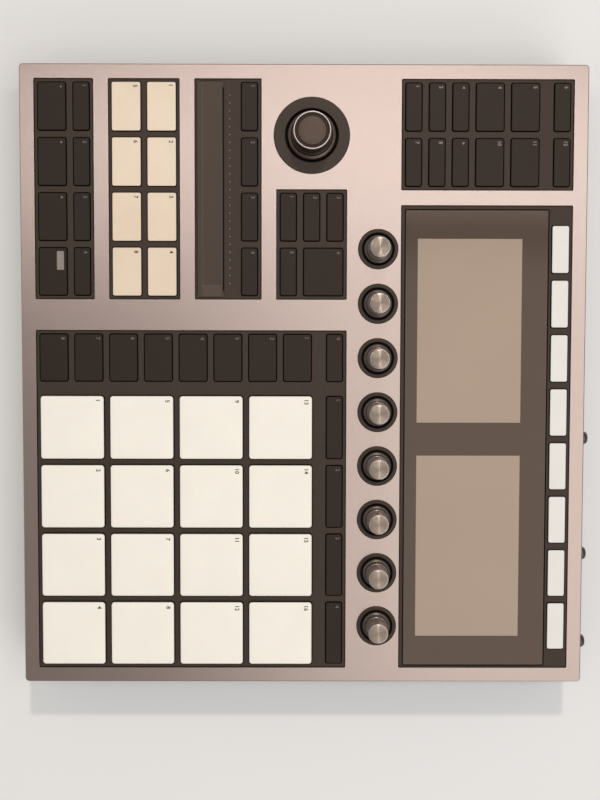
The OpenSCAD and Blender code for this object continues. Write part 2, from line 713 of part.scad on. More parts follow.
module data_sockets() color("#8a8a8e") placed() {
    for (x = din_xs) translate([x, 0, main_board_z1 + din_h / 2]) difference() {
        union() {
            rear_box(din_w, din_h, rear_plate_in - din_body_l, rear_plate_in);
            rear_rod(din_r + din_out, rear_plate_in - over, rear_face + din_out);
        }
        rear_rod(din_r, rear_face + din_out - din_l, rear_face + din_out + over);
    }
    translate([usb_a_x, 0, main_board_z1 + usb_a_h / 2]) difference() {
        rear_box(usb_a_w, usb_a_h, rear_face + din_out - usb_a_l, rear_face + din_out);
        for (z = [-1, 1]) translate([0, 0, z * usb_a_pitch / 2])
            rear_box(usb_a_slot[0], usb_a_slot[1], rear_face + din_out - usb_depth, rear_face + 2 * over);
    }
    translate([usb_b_x, 0, main_board_z1 + usb_b_h / 2]) difference() {
        rear_box(usb_b_w, usb_b_h, rear_face + din_out - usb_b_l, rear_face + din_out);
        rear_box(usb_b_slot[0], usb_b_slot[1], rear_face + din_out - usb_depth, rear_face + 2 * over);
    }
    translate([inlet_x, 0, main_board_z1 + inlet_h / 2]) difference() {
        union() {
            rear_box(inlet_w, inlet_h, rear_plate_in - inlet_body_l, rear_plate_in);
            rear_rod(inlet_r + din_out, rear_plate_in - over, rear_face + din_out);
        }
        rear_rod(inlet_r, rear_face + din_out - inlet_l, rear_face + din_out + over);
    }
    translate([switch_x, rear_face, switch_z]) difference() {
        union() {
            rear_box(housing_w, housing_h, -housing_l, frame_t);
            rear_box(housing_w + 2 * frame_lip, housing_h + 2 * frame_lip, 0, frame_t);
        }
        rear_box(housing_w - 2 * housing_wall, housing_h - 2 * housing_wall,
            housing_wall - housing_l, frame_t + over);
        translate([0, frame_t - rocker_pivot, 0])
            cylinder(h = rocker_h + 2 * (rocker_pin_l + stop_gap), r = rocker_pin_r + run_gap,
                center = true);
    }
}

// Rocker of the power switch with its two pins

module rocker_outline() polygon([
    [-rocker_w / 2, rocker_pivot - rocker_deep], [rocker_w / 2, rocker_pivot - rocker_deep],
    [rocker_w / 2, rocker_pivot + rocker_rise], [0, rocker_pivot - rocker_dip],
    [-rocker_w / 2, rocker_pivot + rocker_rise]]);

module power_switch() color("#151515") placed() {
    translate([switch_x, rear_face + frame_t - rocker_pivot, switch_z])
        rotate([0, 0, -rocker_tilt]) {
            linear_extrude(rocker_h, center = true) rocker_outline();
            cylinder(h = rocker_h + 2 * rocker_pin_l, r = rocker_pin_r, center = true);
        }
}

// Main board with its chips, heat sink and capacitors

module heat_sink() {
    translate([-sink_w / 2, -sink_w / 2, main_board_z1]) {
        cube([sink_w, sink_w, sink_base]);
        for (k = [0:sink_fins - 1]) translate([k * (sink_w - sink_fin_t) / (sink_fins - 1), 0, 0])
            cube([sink_fin_t, sink_w, sink_base + sink_fin_h]);
    }
}

module main_board() color("#1f5a3c") placed() {
    difference() {
        translate([-inner_w / 2 + board_side, rear_plate_in - rear_room - main_board_d, main_board_z0])
            cube([inner_w - 2 * board_side, main_board_d, main_board_t]);
        for (p = screw_places) translate(p)
            rod(post_r + stop_gap, main_board_z0 - over, main_board_z1 + over);
    }
    for (c = chip_table) translate([c[0] * body_w - c[2] / 2, c[1] * body_d - c[3] / 2, main_board_z1])
        cube([c[2], c[3], c[4]]);
    translate([sink_share[0] * body_w, sink_share[1] * body_d, 0]) heat_sink();
    for (s = cap_shares) translate([s[0] * body_w, s[1] * body_d, 0])
        rod(cap_r, main_board_z1, main_board_z1 + cap_h);
}

// Control board: switches under the keys, sensors under the pads, encoders under the knobs

module encoder_body() difference() {
    union() {
        translate([-pot_w / 2, -pot_w / 2, board_z1]) cube([pot_w, pot_w, pot_h]);
        rod(bushing_r, board_z1, knob_z0 - stop_gap);
    }
    rod(spindle_r + run_gap, board_z1 + spindle_seat, knob_z0);
}

module pivot_bracket() difference() {
    rod(bracket_r1, bracket_z0, board_z0);
    rod(bracket_r0, bracket_z0 - over, board_z0 + over);
    translate([0, 0, pivot_z]) rotate([0, 90, 0])
        cylinder(h = 2 * bracket_r1 + 2 * over, r = trunnion_r + run_gap, center = true);
}

module control_board() color("#25603f") placed() {
    difference() {
        block(inner_w - 2 * board_side, 2 * (rear_plate_in - rear_room), block_r, board_z0, board_z1);
        for (p = screw_places) translate(p) rod(screw_r + screw_gap, board_z0 - over, board_z1 + over);
        translate(big_axis) rod(board_hole_r, board_z0 - over, board_z1 + over);
    }
    for (c = key_cells) translate([c[0] - switch_w / 2, c[1] - switch_w / 2, board_z1])
        cube([switch_w, switch_w, switch_h]);
    for (c = pad_cells) translate([c[0] - sensor_w / 2, c[1] - sensor_d / 2, board_z1])
        cube([sensor_w, sensor_d, stem_z0 - pad_travel - stop_gap - board_z1]);
    for (p = knob_places) translate(p) encoder_body();
    translate(big_axis) pivot_bracket();
}

// Displays and touch strip

module display_modules() color("#a99a88") placed() {
    for (p = lcd_places) translate(p)
        block(lcd_fit_w + module_over_w, lcd_fit_d + module_over_d, glass_r,
            glass_z0 - lcd_ledge - screw_gap - module_t, glass_z0 - lcd_ledge - screw_gap);
}

module display_glass() color("#5d524b") placed() block_at(glass_box, glass_r, glass_z0, glass_z0 + glass_t);

module touch_strip() color("#4b423c") placed() {
    block_at(strip_box, strip_r, bezel_top - strip_t - screw_gap, bezel_top - screw_gap);
}

// Collars: cups let into the panel, one for each turn knob and one for the tilting knob

module collar(r, well, neck, hole, z0) rotate_extrude() polygon([
    [hole, z0], [neck, z0], [neck, body_h], [r, body_h], [r, body_h + collar_rise - collar_bevel],
    [r - collar_bevel, body_h + collar_rise], [well, body_h + collar_rise], [well, z0 + cup_t],
    [hole, z0 + cup_t]]);

module knob_collars() color("#2e2a28") placed() {
    for (p = knob_places) translate(p)
        collar(collar_r, well_r, collar_r - neck_in, bushing_r + stop_gap, cup_z0);
    translate(big_axis)
        collar(big_collar_r, big_well_r, big_collar_r - big_neck_in, big_cup_hole, big_cup_z0);
}

// Turn knobs

module knob_outline(top) polygon([
    [0, knob_z0], [knob_skirt_r, knob_z0], [knob_skirt_r, knob_z0 + skirt_h],
    [knob_skirt_r - skirt_bevel, knob_z0 + skirt_h + skirt_bevel],
    [knob_waist_r, knob_z0 + skirt_h + waist_h],
    [knob_waist_r - groove_in, knob_z0 + skirt_h + waist_h],
    [knob_waist_r - groove_in, knob_z0 + skirt_h + waist_h + groove_h],
    [knob_waist_r, knob_z0 + skirt_h + waist_h + groove_h],
    [knob_top_r + knob_edge, top - knob_edge], [knob_top_r, top],
    [knob_top_r - dish_in, top], [knob_top_r - dish_in, top - dish_h], [0, top - dish_h]]);

module knob(k) color("#b8aca2") placed() translate(knob_places[k - 1]) {
    rotate_extrude() knob_outline(body_h + knob_h);
    rod(spindle_r, board_z1 + spindle_seat + stop_gap, knob_z0 + skirt_h);
}

// Tilting knob and what carries it

module big_knob_outline(top) polygon([
    [spindle_r + run_gap, shoulder_z + stop_gap], [hub_r, shoulder_z + stop_gap], [hub_r, big_z0],
    [big_skirt_r, big_z0], [big_skirt_r, big_z0 + big_skirt_h],
    [big_skirt_r - skirt_bevel, big_z0 + big_skirt_h + skirt_bevel],
    [big_waist_r + skirt_bevel, big_z0 + 2 * big_skirt_h + skirt_bevel],
    [big_waist_r, top - knob_edge - skirt_bevel], [big_waist_r, top - knob_edge], [big_top_r, top],
    [big_top_r - knob_edge, top], [big_top_r - big_dish_in, top - big_dish_h], [0, top - big_dish_h],
    [0, spindle_top + stop_gap], [spindle_r + run_gap, spindle_top + stop_gap]]);

module encoder_knob() color("#3d3733") placed() translate(big_axis)
    rotate_extrude() big_knob_outline(body_h + big_h);

module encoder_shaft() color("#9a9a9d") placed() translate(big_axis) {
    rod(shaft_flange_r, shaft_flange_z1 - shaft_flange_h, shaft_flange_z1);
    rod(shaft_r, shaft_flange_z1 - shaft_flange_h, shoulder_z);
    rod(spindle_r, pivot_z, spindle_top);
}

module trunnions(r_in, r_out) for (side = [-1, 1])
    translate([side * (r_in + r_out) / 2, 0, pivot_z]) rotate([0, 90, 0])
        cylinder(h = r_out - r_in, r = trunnion_r, center = true);

module encoder_cradle() color("#6f6f73") placed() translate(big_axis) {
    difference() {
        union() {
            rod(cradle_r, pivot_z - cradle_h / 2, pivot_z + cradle_h / 2);
            rotate([0, 0, 90]) trunnions(cradle_r - trunnion_root, gimbal_r1 - stop_gap);
        }
        rod(shaft_r + run_gap, pivot_z - cradle_h, pivot_z + cradle_h);
    }
}

module encoder_gimbal() color("#84848a") placed() translate(big_axis) {
    difference() {
        union() {
            rod(gimbal_r1, pivot_z - gimbal_h / 2, pivot_z + gimbal_h / 2);
            trunnions(gimbal_r0 + trunnion_root, bracket_r1 - stop_gap);
        }
        rod(gimbal_r0, pivot_z - gimbal_h, pivot_z + gimbal_h);
        translate([0, 0, pivot_z]) rotate([90, 0, 0])
            cylinder(h = 2 * gimbal_r1 + 2 * over, r = trunnion_r + run_gap, center = true);
    }
}

// Keys and pads: a bevelled cap, a flange that the bezel holds down, and a stem over the switch

module key(cell, r, bevel, rise) translate([cell[0], cell[1], 0]) {
    bevel_block(cell[2], cell[3], r, flange_z0, bezel_top + rise, bevel);
    block(cell[2] + 2 * flange_lip, cell[3] + 2 * flange_lip, r, flange_z0, flange_z1);
}

module key_bank(cells, tint) color(tint) placed() for (c = cells) {
    key(c, key_r, key_bevel, key_rise);
    translate([c[0], c[1], 0]) rod(stem_r, stem_z0, flange_z1);
}

module pad(k) color("#f0e9df") placed() {
    key(pad_cells[k - 1], pad_r, pad_bevel, pad_rise);
    translate([pad_cells[k - 1][0], pad_cells[k - 1][1], 0])
        block(sensor_w, sensor_d, pad_r, stem_z0, flange_z1);
}

dark_key = "#39322d";
white_key = "#efe6da";

module play_key() key_bank([transport_cells[0]], dark_key);
module record_key() key_bank([transport_cells[1]], dark_key);
module stop_key() key_bank([transport_cells[2]], dark_key);
module shift_key() key_bank([transport_cells[3]], dark_key);
module transport_small_keys() key_bank(transport_small_cells, dark_key);
module group_keys() key_bank(group_cells, white_key);
module strip_keys() key_bank(strip_cells, dark_key);
module repeat_key() key_bank(repeat_cells, dark_key);
module encoder_keys() key_bank(side_cells, dark_key);
module display_keys() key_bank(display_cells, white_key);
module browse_keys() key_bank(browse_cells, dark_key);
module scene_keys() key_bank(scene_cells, dark_key);
module pad_mode_keys() key_bank(mode_cells, dark_key);

top_panel();
key_bezel();
bottom_case();
rear_panel();
display_glass();
display_modules();
touch_strip();
knob_collars();
control_board();
main_board();
audio_jacks();
rear_pots();
data_sockets();
rubber_feet();
case_screws();
for (k = [1:16]) pad(k);
for (k = [1:8]) knob(k);
encoder_gimbal();
encoder_cradle();
encoder_shaft();
encoder_knob();
rear_knob(rear_knob_xs[0]);  // mic_gain_knob
rear_knob(rear_knob_xs[1]);  // main_volume_knob
rear_knob(rear_knob_xs[2]);  // phones_knob
power_switch();
play_key();
record_key();
stop_key();
shift_key();
transport_small_keys();
group_keys();
strip_keys();
repeat_key();
encoder_keys();
display_keys();
browse_keys();
scene_keys();
pad_mode_keys();
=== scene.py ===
"""Looks of the groovebox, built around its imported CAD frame."""

import math

import bmesh
import bpy
from mathutils import Euler, Matrix, Vector


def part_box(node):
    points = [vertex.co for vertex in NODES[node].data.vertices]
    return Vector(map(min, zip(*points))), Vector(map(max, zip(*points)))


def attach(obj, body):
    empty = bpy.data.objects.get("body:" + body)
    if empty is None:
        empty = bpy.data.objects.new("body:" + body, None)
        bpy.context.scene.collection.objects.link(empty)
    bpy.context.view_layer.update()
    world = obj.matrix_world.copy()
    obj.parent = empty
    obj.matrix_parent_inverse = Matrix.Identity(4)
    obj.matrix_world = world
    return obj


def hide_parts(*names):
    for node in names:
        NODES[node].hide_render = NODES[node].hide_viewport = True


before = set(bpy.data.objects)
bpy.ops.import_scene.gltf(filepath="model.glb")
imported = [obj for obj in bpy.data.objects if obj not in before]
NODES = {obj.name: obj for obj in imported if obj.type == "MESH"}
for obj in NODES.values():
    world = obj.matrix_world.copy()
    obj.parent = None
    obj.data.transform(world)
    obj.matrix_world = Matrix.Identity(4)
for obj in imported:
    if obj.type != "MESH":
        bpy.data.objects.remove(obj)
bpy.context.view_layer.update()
MM = 0.001
SHARP = math.radians(35)  # edges that bend more than this are shaded as sharp
LEVEL = 0.99999           # a face is level when its normal's Z is beyond this
UPRIGHT = 0.1             # and upright when it is within this
CAP_DEPTH = 2 * MM        # what lies this near a key's top is its cap
PRINT_THICK = 0.02 * MM

# ---------------------------------------------------------------- reading the frame


def joined(mesh):
    """Numbers of the mesh's distinct corners, and their places."""
    seen, ids = {}, []
    for v in mesh.vertices:
        ids.append(seen.setdefault(tuple(round(c, 6) for c in v.co), len(seen)))
    return ids, list(seen)


def groups(mesh, keep=lambda p: True):
    """Sets of corners that the kept faces join."""
    ids, places = joined(mesh)
    up = list(range(len(places)))

    def top(i):
        while up[i] != i:
            up[i] = up[up[i]]
            i = up[i]
        return i

    used = set()
    for p in mesh.polygons:
        if keep(p):
            used.update(ids[i] for i in p.vertices)
            for i in p.vertices[1:]:
                up[top(ids[i])] = top(ids[p.vertices[0]])
    sets = {}
    for i in used:
        sets.setdefault(top(i), []).append(Vector(places[i]))
    return list(sets.values())


def corners(points):
    """Lowest and highest corner of the box round some points."""
    return (Vector([min(p[i] for p in points) for i in range(3)]),
            Vector([max(p[i] for p in points) for i in range(3)]))


def by_place(lo):
    """Sorting key that runs from left to right, then front to rear."""
    return round(lo.x, 4), round(lo.y, 4)


def solids(node):
    """Boxes of a node's loose solids, from left to right and front to rear."""
    boxes = [corners(g) for g in groups(NODES[node].data)]
    return sorted(boxes, key=lambda b: by_place(b[0]))


def caps(node):
    """For each key of a bank: the box of its whole solid and the box of its cap alone."""
    found = []
    for g in groups(NODES[node].data):
        lo, hi = corners(g)
        found.append((lo, hi, *corners([p for p in g if p.z > hi.z - CAP_DEPTH])))
    return sorted(found, key=lambda b: by_place(b[2]))


def openings(node):
    """Outer wall of a plate and the walls of its openings, as boxes."""
    walls = [corners(g) for g in groups(NODES[node].data, lambda p: abs(p.normal.z) < UPRIGHT)]
    walls.sort(key=lambda b: (b[1] - b[0]).length, reverse=True)
    return walls[0], walls[1:]


def spans(lo, hi):
    """Width and depth of a box."""
    return hi.x - lo.x, hi.y - lo.y


def middle(lo, hi):
    """Middle of a box, seen from above."""
    return (lo.x + hi.x) / 2, (lo.y + hi.y) / 2


def rear_middle(lo, hi):
    """Middle of a box, seen from the rear, as x and z."""
    return (lo.x + hi.x) / 2, (lo.z + hi.z) / 2


def flat_box(x0, y0, x1, y1):
    """Box without a height, for slab and rect_hole."""
    return Vector((x0, y0, 0)), Vector((x1, y1, 0))


# ---------------------------------------------------------------- mesh helpers


def round_rect(w, d, r, n=5):
    """Outline of a rectangle with round corners, anticlockwise, centred."""
    r = max(min(r, w / 2, d / 2), 1e-5)
    pts = []
    for q, (sx, sy) in enumerate([(1, 1), (-1, 1), (-1, -1), (1, -1)]):
        for k in range(n + 1):
            a = math.pi / 2 * (q + k / n)
            pts.append((sx * (w / 2 - r) + r * math.cos(a), sy * (d / 2 - r) + r * math.sin(a)))
    return pts


def rect(x0, y0, x1, y1):
    """Outline of a rectangle, anticlockwise."""
    return [(x0, y0), (x1, y0), (x1, y1), (x0, y1)]


def circle(r, n=96):
    """Outline of a circle, anticlockwise, centred."""
    return [(r * math.cos(2 * math.pi * k / n), r * math.sin(2 * math.pi * k / n)) for k in range(n)]


def ring(bm, pts, z, at=(0, 0)):
    """New corners along an outline, moved to a place and a height."""
    return [bm.verts.new((at[0] + x, at[1] + y, z)) for x, y in pts]


def bridge(bm, low, high):
    """Faces between two rings of as many corners."""
    n = len(low)
    for i in range(n):
        bm.faces.new((low[i], low[(i + 1) % n], high[(i + 1) % n], high[i]))


def loft(bm, rings):
    """Closed solid through rings that run upwards."""
    for low, high in zip(rings, rings[1:]):
        bridge(bm, low, high)
    bm.faces.new(rings[0][::-1])
    bm.faces.new(rings[-1])


def slab(bm, box, r, profile, n=5):
    """Solid over a rectangle with round corners; profile is a list of (inset, height)."""
    w, d = spans(*box)
    loft(bm, [ring(bm, round_rect(w - 2 * i, d - 2 * i, r - i, n), z, middle(*box)) for i, z in profile])


def lathe(bm, at, profile, n=96, ribs=None):
    """Rings about a line along Z; profile is a list of (radius, height), and ribs is
    (count, depth, first ring, last ring)."""
    rings = []
    for j, (r, z) in enumerate(profile):
        pts = circle(r, n)
        if ribs and ribs[2] <= j <= ribs[3]:
            shrink = [1 - ribs[1] / r * (0.5 + 0.5 * math.cos(ribs[0] * 2 * math.pi * k / n)) ** 2
                      for k in range(n)]
            pts = [(x * s, y * s) for (x, y), s in zip(pts, shrink)]
        rings.append(ring(bm, pts, z, at))
    return rings


def turned(bm, at, profile, n=96):
    """Closed solid of revolution; its profile runs upwards."""
    loft(bm, lathe(bm, at, profile, n))


def tube(bm, at, profile, n=96):
    """Closed ring-shaped solid: the profile is a loop, outside upwards first."""
    rings = lathe(bm, at, profile, n)
    for low, high in zip(rings, rings[1:] + rings[:1]):
        bridge(bm, low, high)


def risen(z, pairs):
    """Profile from pairs of (radius, rise above z) in millimetres."""
    return [(r * MM, z + rise * MM) for r, rise in pairs]


def fillet(edge, top, r, n=4):
    """Quarter-round from (edge, top - r) to (edge + r, top), as (inset, height)."""
    return [(edge + r * (1 - math.cos(a)), top - r * (1 - math.sin(a)))
            for a in (math.pi / 2 * k / n for k in range(n + 1))]


def plate(bm, outer, outer_r, holes, z0, z1, edge, lip):
    """Plate with openings; edge is the outer bevel, lip the bevel round each opening."""
    w, d = spans(*outer)
    rings = [ring(bm, round_rect(w - 2 * i, d - 2 * i, outer_r - i, 8), z, middle(*outer))
             for i, z in [(0, z0)] + fillet(0, z1, edge, 2)]
    for low, high in zip(rings, rings[1:]):
        bridge(bm, low, high)
    bottoms, tops = [rings[0]], [rings[-1]]
    for outline, at in holes:
        walls = [ring(bm, outline(grow), z, at) for grow, z in [(0, z0), (0, z1 - lip), (lip, z1)]]
        for low, high in zip(walls, walls[1:]):
            bridge(bm, low, high)
        bottoms.append(walls[0])
        tops.append(walls[-1])
    for loops in (bottoms, tops):
        edges = set()
        for loop in loops:
            for a, b in zip(loop, loop[1:] + loop[:1]):
                edges.add(bm.edges.get((a, b)) or bm.edges.new((a, b)))
        bmesh.ops.triangle_fill(bm, use_beauty=True, use_dissolve=False, edges=list(edges))


def rect_hole(box, r, wider=0.0):
    """Rectangular opening of a plate: its outline for a growth, and its middle."""
    w, d = (side + 2 * wider for side in spans(*box))
    return lambda grow: round_rect(w + 2 * grow, d + 2 * grow, r + grow, 4), middle(*box)


def round_hole(box):
    """Round opening of a plate: its outline for a growth, and its middle."""
    r = (box[1].x - box[0].x) / 2
    return lambda grow: circle(r + grow, 64), middle(*box)


def add_text(bm, words, size, x, y, z):
    """Thin raised print whose lower left corner lies at x, y."""
    curve = bpy.data.curves.new("print", "FONT")
    curve.body = words
    curve.size = size
    curve.resolution_u = 2
    curve.extrude = PRINT_THICK / 2
    curve.offset = 0.05 * MM
    obj = bpy.data.objects.new("print", curve)
    bpy.context.scene.collection.objects.link(obj)
    bpy.context.view_layer.update()
    mesh = bpy.data.meshes.new_from_object(obj.evaluated_get(bpy.context.evaluated_depsgraph_get()))
    bpy.data.objects.remove(obj)
    lo_x = min(v.co.x for v in mesh.vertices)
    mesh.transform(Matrix.Translation((x - lo_x, y, z + PRINT_THICK / 2)))
    bm.from_mesh(mesh)
    bpy.data.meshes.remove(mesh)


def add_shape(bm, pts, x, y, z):
    """Thin raised print of a flat outline."""
    loft(bm, [ring(bm, pts, z, (x, y)), ring(bm, pts, z + PRINT_THICK, (x, y))])


# ---------------------------------------------------------------- pieces and their faces


def keep_flat(mesh):
    """Sharp edges round the level faces, so that their shading doesn't bend at a small bevel."""
    level = {}
    for p in mesh.polygons:
        for key in p.edge_keys:
            level.setdefault(key, []).append(abs(p.normal.z) > LEVEL)
    for edge in mesh.edges:
        kinds = level.get(edge.key, [])
        if any(kinds) and not all(kinds):
            edge.use_edge_sharp = True


def piece(name, bm, material, body, *replaced, slot=None, smooth=True):
    """Turns a bmesh into a piece that rides on a body and stands for CAD nodes."""
    bmesh.ops.recalc_face_normals(bm, faces=bm.faces)
    mesh = bpy.data.meshes.new(name)
    bm.to_mesh(mesh)
    bm.free()
    obj = bpy.data.objects.new(name, mesh)
    bpy.context.scene.collection.objects.link(obj)
    for m in material if isinstance(material, (list, tuple)) else [material]:
        mesh.materials.append(m)
    if smooth:
        mesh.polygons.foreach_set("use_smooth", [True] * len(mesh.polygons))
        mesh.set_sharp_from_angle(angle=SHARP)
        keep_flat(mesh)
    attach(obj, body)
    if replaced:
        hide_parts(*replaced)
    return obj


def paint(obj, test, index=1):
    """Gives the faces that pass a test another of the piece's materials."""
    for p in obj.data.polygons:
        if test(p):
            p.material_index = index


def below(z):
    """Test for faces below a height."""
    return lambda p: p.center.z < z


def beyond(r, at):
    """Test for faces farther than a radius from an upright line."""
    return lambda p: math.hypot(p.center.x - at[0], p.center.y - at[1]) > r


# ---------------------------------------------------------------- materials


def shader_of(tree):
    """The principled shader of a material's node tree."""
    return next(n for n in tree.nodes if n.type == "BSDF_PRINCIPLED")


def material(name, colour, rough, metallic=0.0, specular=0.5, coat=0.0, coat_rough=0.1, aniso=0.0,
             spread=0.08, scale=400.0, bump=0.0, bump_scale=2500.0, rough_spread=0.0, stretch=(1, 1, 1),
             subsurface=0.0, tint=None, gloss_tint=(1, 1, 1), across=0.0):
    """Shader whose colour, roughness and height vary by noise over the piece."""
    m = bpy.data.materials.new(name)
    m.use_nodes = True
    tree = m.node_tree
    nodes, links = tree.nodes, tree.links
    shader = shader_of(tree)
    place = nodes.new("ShaderNodeTexCoord")
    mapping = nodes.new("ShaderNodeMapping")
    mapping.inputs["Scale"].default_value = stretch
    links.new(place.outputs["Object"], mapping.inputs["Vector"])
    noise = nodes.new("ShaderNodeTexNoise")
    noise.inputs["Scale"].default_value = scale
    noise.inputs["Detail"].default_value = 4.0
    links.new(mapping.outputs["Vector"], noise.inputs["Vector"])
    ramp = nodes.new("ShaderNodeValToRGB")
    low = tint or tuple(c * (1 - spread) for c in colour)
    ramp.color_ramp.elements[0].position = 0.3
    ramp.color_ramp.elements[0].color = (*low, 1)
    ramp.color_ramp.elements[1].position = 0.7
    ramp.color_ramp.elements[1].color = (*[min(c * (1 + spread), 1) for c in colour], 1)
    links.new(noise.outputs["Fac"], ramp.inputs["Fac"])
    links.new(ramp.outputs["Color"], shader.inputs["Base Color"])
    settings = {"Specular Tint": (*gloss_tint, 1), "Metallic": metallic, "Specular IOR Level": specular,
                "Coat Weight": coat, "Coat Roughness": coat_rough, "Anisotropic": aniso,
                "Anisotropic Rotation": across}
    if subsurface:
        settings.update({"Subsurface Weight": subsurface, "Subsurface Radius": (0.004, 0.003, 0.002),
                         "Subsurface Scale": 1.0})
    if rough_spread:
        span = nodes.new("ShaderNodeMapRange")
        span.inputs["To Min"].default_value = rough - rough_spread
        span.inputs["To Max"].default_value = rough + rough_spread
        links.new(noise.outputs["Fac"], span.inputs["Value"])
        links.new(span.outputs["Result"], shader.inputs["Roughness"])
    else:
        settings["Roughness"] = rough
    for socket, value in settings.items():
        shader.inputs[socket].default_value = value
    if bump:
        grain = nodes.new("ShaderNodeTexNoise")
        grain.inputs["Scale"].default_value = bump_scale
        grain.inputs["Detail"].default_value = 2.0
        links.new(mapping.outputs["Vector"], grain.inputs["Vector"])
        relief = nodes.new("ShaderNodeBump")
        relief.inputs["Strength"].default_value = bump
        relief.inputs["Distance"].default_value = 0.1 * MM
        links.new(grain.outputs["Fac"], relief.inputs["Height"])
        links.new(relief.outputs["Normal"], shader.inputs["Normal"])
    return m


def spun_metal(*args, **kwargs):
    """Metal whose grain runs in rings about the piece's own upright axis."""
    m = material(*args, metallic=1.0, across=0.25, **kwargs)
    tree = m.node_tree
    tangent = tree.nodes.new("ShaderNodeTangent")
    tangent.direction_type = "RADIAL"
    tangent.axis = "Z"
    tree.links.new(tangent.outputs["Tangent"], shader_of(tree).inputs["Tangent"])
    return m


WARM = (1.0, 0.84, 0.74)
BROWN = (1.0, 0.79, 0.66)
ALUMINIUM = material("panel_aluminium", (0.342, 0.271, 0.243), 0.30, metallic=1.0, spread=0.03,
                     scale=1800.0, bump=0.08, bump_scale=5200.0, rough_spread=0.03)
BEZEL = material("bezel_plastic", (0.044, 0.032, 0.0255), 0.5, spread=0.10, scale=900.0, bump=0.12,
                 rough_spread=0.05, specular=0.2, gloss_tint=WARM)
CASE = material("case_plastic", (0.030, 0.028, 0.027), 0.6, spread=0.12, scale=300.0, bump=0.3,
                bump_scale=1400.0, rough_spread=0.06)
GLASS = material("glass_frame", (0.043, 0.0255, 0.019), 0.12, spread=0.04, scale=60.0, gloss_tint=BROWN)
PICTURE = material("display_picture", (0.346, 0.265, 0.207), 0.12, spread=0.02, scale=20.0,
                   gloss_tint=BROWN)
STRIP = material("strip_surface", (0.043, 0.0288, 0.0223), 0.42, spread=0.06, scale=120.0,
                 stretch=(0.05, 1, 1), rough_spread=0.05, specular=0.35, gloss_tint=WARM)
STRIP_END = material("strip_end_print", (0.062, 0.044, 0.035), 0.42, spread=0.06, scale=120.0,
                     specular=0.35, gloss_tint=WARM)
STRIP_LINE = material("strip_print", (0.070, 0.050, 0.040), 0.45, spread=0.06, scale=400.0)
COLLAR = material("collar_satin", (0.027, 0.018, 0.0135), 0.42, spread=0.12, scale=900.0, bump=0.15,
                  rough_spread=0.05, specular=0.32, gloss_tint=WARM)
KNOB_DARK = material("knob_dark_gloss", (0.068, 0.053, 0.045), 0.24, metallic=0.6, spread=0.1,
                     scale=500.0, coat=0.5, coat_rough=0.12)
# A darker copy of the knobs' turned metal: painted shade on the small knobs' skirts.
KNOB_SKIRT_PAINTED_SHADE = spun_metal("knob_skirt_metal", (0.135, 0.112, 0.098), 0.42, spread=0.12, scale=700.0,
                        aniso=0.6)
# A lighter copy of the caps' spun metal: painted light on the knobs' steep turned sides.
KNOB_BODY_PAINTED_LIGHT = spun_metal("knob_turned_metal", (0.46, 0.385, 0.345), 0.34, spread=0.06, scale=900.0,
                       aniso=0.8)
KNOB_CAP = spun_metal("knob_spun_metal", (0.28, 0.222, 0.182), 0.40, spread=0.06, scale=1500.0,
                      aniso=0.96)
BIG_SKIRT = spun_metal("big_knob_skirt", (0.125, 0.094, 0.073), 0.42, spread=0.12, scale=700.0,
                       aniso=0.7)
KNOB_EDGE = material("knob_bright_edge", (0.50, 0.445, 0.41), 0.26, metallic=1.0, spread=0.03,
                     scale=800.0)
KNOB_RIM = material("big_knob_bright_ring", (0.46, 0.40, 0.37), 0.46, metallic=1.0, spread=0.03,
                    scale=800.0)
BIG_TOP = material("big_knob_disc", (0.080, 0.052, 0.040), 0.5, spread=0.08, scale=700.0, bump=0.15,
                   rough_spread=0.05, specular=0.35, gloss_tint=WARM)
PAD = material("pad_milky", (0.89, 0.84, 0.75), 0.5, spread=0.015, scale=50.0, bump=0.05,
               bump_scale=1800.0, subsurface=0.15)
WHITE_KEY = material("key_milky", (0.752, 0.612, 0.468), 0.38, spread=0.02, scale=60.0, coat=0.2,
                     subsurface=0.15, tint=(0.74, 0.59, 0.44))
DISPLAY_KEY = material("display_key_milky", (0.745, 0.711, 0.668), 0.38, spread=0.02, scale=60.0,
                       coat=0.2, subsurface=0.15)
DARK_KEY = material("key_rubber", (0.0190, 0.0128, 0.0094), 0.48, spread=0.14, scale=1200.0, bump=0.18,
                    rough_spread=0.06, specular=0.22, gloss_tint=WARM)
PRINT_DARK = material("print_dark", (0.022, 0.017, 0.014), 0.6, spread=0.1, scale=900.0)
PRINT_DIM = material("print_dim", (0.14, 0.115, 0.10), 0.6, spread=0.1, scale=900.0)
PRINT_PALE = material("print_pale", (0.24, 0.205, 0.18), 0.6, spread=0.1, scale=900.0)
LAMP = material("strip_lamp", (0.17, 0.145, 0.115), 0.35, spread=0.05, scale=900.0)
RUBBER = material("foot_rubber", (0.022, 0.022, 0.022), 0.8, spread=0.15, scale=700.0, bump=0.4)
STEEL = material("plated_steel", (0.56, 0.56, 0.57), 0.32, metallic=1.0, spread=0.06, scale=350.0,
                 rough_spread=0.06)
DARK_STEEL = material("black_screw", (0.05, 0.05, 0.05), 0.35, metallic=0.8, spread=0.1, scale=500.0)
SOCKET = material("socket_plastic", (0.018, 0.018, 0.018), 0.5, spread=0.1, scale=600.0, bump=0.15)
NICKEL = material("nickel", (0.62, 0.60, 0.57), 0.24, metallic=1.0, spread=0.05, scale=500.0,
                  rough_spread=0.05)
BOARD = material("circuit_board", (0.012, 0.075, 0.038), 0.4, spread=0.2, scale=250.0, bump=0.1)
MODULE = material("display_module", (0.35, 0.33, 0.30), 0.4, metallic=0.5, spread=0.08, scale=200.0)
# Near-black painted shade, set in gaps and holes, on the glass's edge and on the sunk sides of keys, pads
# and collar wells, where there is only shade.
PAINTED_SHADE = material("painted_gap_shade", (0.004, 0.003, 0.003), 0.8, spread=0.2, scale=500.0, specular=0.2)

